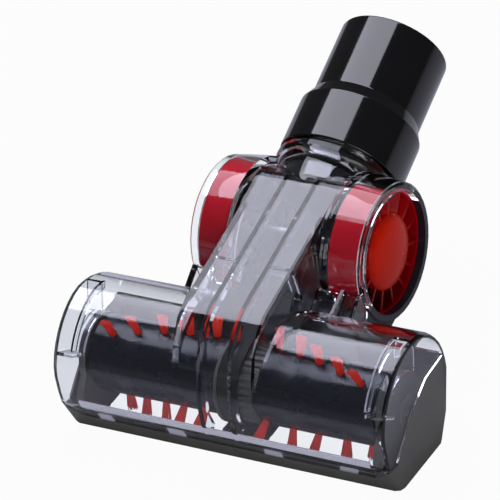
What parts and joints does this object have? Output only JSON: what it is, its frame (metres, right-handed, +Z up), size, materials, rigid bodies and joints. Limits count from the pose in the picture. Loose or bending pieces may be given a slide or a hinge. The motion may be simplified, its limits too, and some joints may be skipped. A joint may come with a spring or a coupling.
{
  "type": "vacuum turbo brush head",
  "caption": "Air-driven vacuum brush head: a clear housing over a tufted roller, red turbine inlets on both sides, belt drive and a stepped swivel hose connector.",
  "frame": {"origin": "middle of the head's outline, in the plane of the sole", "axes": "+X along the roller to the right, +Y from the front lip towards the hose connector, +Z up"},
  "size_m": [0.13, 0.1562, 0.0993],
  "materials": {
    "clear_plastic": "clear, polished",
    "black_plastic": "satin black",
    "gloss_black": "polished black",
    "navy_plastic": "satin blue-black",
    "red_plastic": "glossy crimson",
    "bristle": "red nylon bristles",
    "rubber": "matt black rubber",
    "steel": "ground steel"
  },
  "bodies": {
    "head": {"base": "black_plastic", "cover": "clear_plastic", "drive_belt": "rubber", "inlet_left": "red_plastic", "inlet_right": "red_plastic", "roller_bush_left": "black_plastic", "roller_bush_right": "black_plastic", "roller_cap_left": "black_plastic", "roller_cap_right": "black_plastic", "swivel_sleeve": "gloss_black", "turbine_bearing_left": "steel", "turbine_bearing_right": "steel"},
    "roller": {"roller_axle": "steel", "roller_left": "navy_plastic", "roller_right": "navy_plastic", "roller_pulley": "black_plastic", "tuft_01": "bristle", "tuft_02": "bristle", "tuft_03": "bristle", "tuft_04": "bristle", "tuft_05": "bristle", "tuft_06": "bristle", "tuft_07": "bristle", "tuft_08": "bristle", "tuft_09": "bristle", "tuft_10": "bristle", "tuft_11": "bristle", "tuft_12": "bristle", "tuft_13": "bristle", "tuft_14": "bristle", "tuft_15": "bristle", "tuft_16": "bristle", "tuft_17": "bristle", "tuft_18": "bristle", "tuft_19": "bristle", "tuft_20": "bristle"},
    "turbine": {"turbine_shaft": "steel", "turbine_pulley": "black_plastic", "turbine_wheel_left": "navy_plastic", "turbine_wheel_right": "navy_plastic"},
    "connector": {"hose_connector": "gloss_black"}
  },
  "joints": [
    {"name": "roller_spin", "type": "hinge", "parent": "head", "child": "roller", "pos_m": [0, -0.05477, 0.021], "axis": [1, 0, 0], "continuous": true},
    {"name": "turbine_spin", "type": "hinge", "parent": "head", "child": "turbine", "pos_m": [0, -0.00358, 0.0465], "axis": [1, 0, 0], "continuous": true},
    {"name": "connector_swivel", "type": "hinge", "parent": "head", "child": "connector", "pos_m": [0, -0.00358, 0.0465], "axis": [0, 0.9018, 0.4321], "continuous": true}
  ],
  "couplings": [
    {"joint": "turbine_spin", "follows": "roller_spin", "ratio": 2.5}
  ]
}
